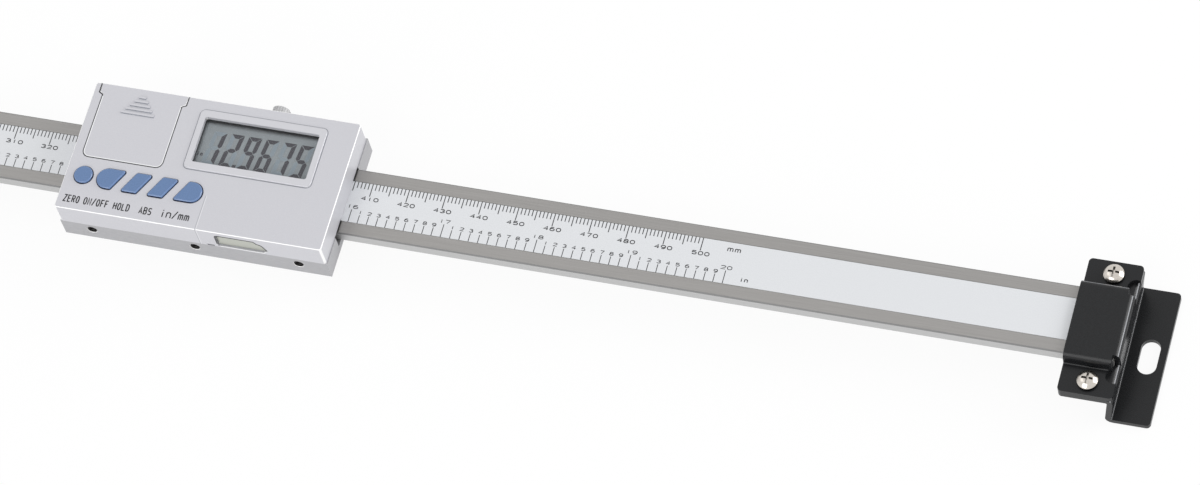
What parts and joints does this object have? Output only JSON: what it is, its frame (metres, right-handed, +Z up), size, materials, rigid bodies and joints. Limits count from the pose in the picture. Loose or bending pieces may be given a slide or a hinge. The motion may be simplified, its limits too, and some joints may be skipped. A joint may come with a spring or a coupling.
{
  "type": "linear scale unit",
  "caption": "Horizontal digital linear scale: a graduated stainless beam held in two pressed end brackets, with a sliding readout that shows its position.",
  "frame": {"origin": "centre of the left bracket's mounting slot, on the mounting surface", "axes": "+X along the beam towards higher readings, +Y away from the reader, +Z up out of the display"},
  "size_m": [0.6688, 0.0439, 0.0241],
  "materials": {
    "beam_steel": "brushed along its length",
    "strip_board": "glass-fibre laminate",
    "film_silver": "satin printed film",
    "bracket_black": "black semi-gloss coat",
    "screw_nickel": "nickel plated",
    "frame_metal": "matte, fine ground",
    "gib_black": "low-friction plastic",
    "spring_steel": "bright",
    "circuit_board": "solder mask",
    "cover_silver": "silver paint, satin",
    "window_clear": "clear",
    "display_grey": "liquid crystal glass",
    "holder_white": "moulded",
    "strip_rubber": "striped contact rubber",
    "mat_rubber": "silicone",
    "cell_steel": "bright can",
    "contact_brass": "gold flashed",
    "felt_grey": "felt",
    "port_grey": "moulded",
    "button_blue": "satin",
    "shoe_brass": "turned",
    "knob_nickel": "fine knurl"
  },
  "bodies": {
    "beam_assembly": {"beam": "beam_steel", "stator_strip": "strip_board", "graduated_film": "film_silver", "clamp_left": "bracket_black", "clamp_right": "bracket_black", "bracket_left": "bracket_black", "bracket_right": "bracket_black", "clamp_screws": "screw_nickel"},
    "slider": {"slider_frame": "frame_metal", "gib_strip": "gib_black", "gib_spring": "spring_steel", "sensor_board": "circuit_board", "board_screws": "screw_nickel", "front_cover": "cover_silver", "cover_screws": "screw_nickel", "display_window": "window_clear", "display_glass": "display_grey", "display_holder": "holder_white", "contact_strips": "strip_rubber", "button_mat": "mat_rubber", "battery_cell": "cell_steel", "contact_negative": "contact_brass", "contact_positive": "contact_brass", "wiper_left": "felt_grey", "wiper_right": "felt_grey", "port_contacts": "contact_brass"},
    "port_cover": {"port_cover": "port_grey"},
    "battery_lid": {"battery_lid": "cover_silver"},
    "button_zero": {"button_zero": "button_blue"},
    "button_on_off": {"button_on_off": "button_blue"},
    "button_hold": {"button_hold": "button_blue"},
    "button_abs": {"button_abs": "button_blue"},
    "button_unit": {"button_unit": "button_blue"},
    "lock_shoe": {"lock_shoe": "shoe_brass"},
    "lock_knob": {"lock_knob": "knob_nickel"}
  },
  "joints": [
    {"name": "slider_travel", "type": "slide", "parent": "beam_assembly", "child": "slider", "axis": [1, 0, 0], "range_m": [-0.3538, 0.1932]},
    {"name": "battery_lid_slide", "type": "slide", "parent": "slider", "child": "battery_lid", "axis": [0, 1, 0], "range_m": [0, 0.024]},
    {"name": "port_cover_pull", "type": "slide", "parent": "slider", "child": "port_cover", "axis": [0, -1, 0], "range_m": [0, 0.006]},
    {"name": "button_zero_press", "type": "slide", "parent": "slider", "child": "button_zero", "axis": [0, 0, -1], "range_m": [0, 0.0006], "stiffness_N_per_m": 900},
    {"name": "button_on_off_press", "type": "slide", "parent": "slider", "child": "button_on_off", "axis": [0, 0, -1], "range_m": [0, 0.0006], "stiffness_N_per_m": 900},
    {"name": "button_hold_press", "type": "slide", "parent": "slider", "child": "button_hold", "axis": [0, 0, -1], "range_m": [0, 0.0006], "stiffness_N_per_m": 900},
    {"name": "button_abs_press", "type": "slide", "parent": "slider", "child": "button_abs", "axis": [0, 0, -1], "range_m": [0, 0.0006], "stiffness_N_per_m": 900},
    {"name": "button_unit_press", "type": "slide", "parent": "slider", "child": "button_unit", "axis": [0, 0, -1], "range_m": [0, 0.0006], "stiffness_N_per_m": 900},
    {"name": "lock_advance", "type": "slide", "parent": "slider", "child": "lock_shoe", "axis": [0, -1, 0], "range_m": [0, 0.000235]},
    {"name": "lock_turn", "type": "hinge", "parent": "lock_shoe", "child": "lock_knob", "pos_m": [0.42145, 0.0244, 0.0136], "axis": [0, -1, 0], "range_deg": [0, 170]}
  ],
  "couplings": [
    {"joint": "lock_turn", "follows": "lock_advance", "rad_per_m": 12566}
  ]
}
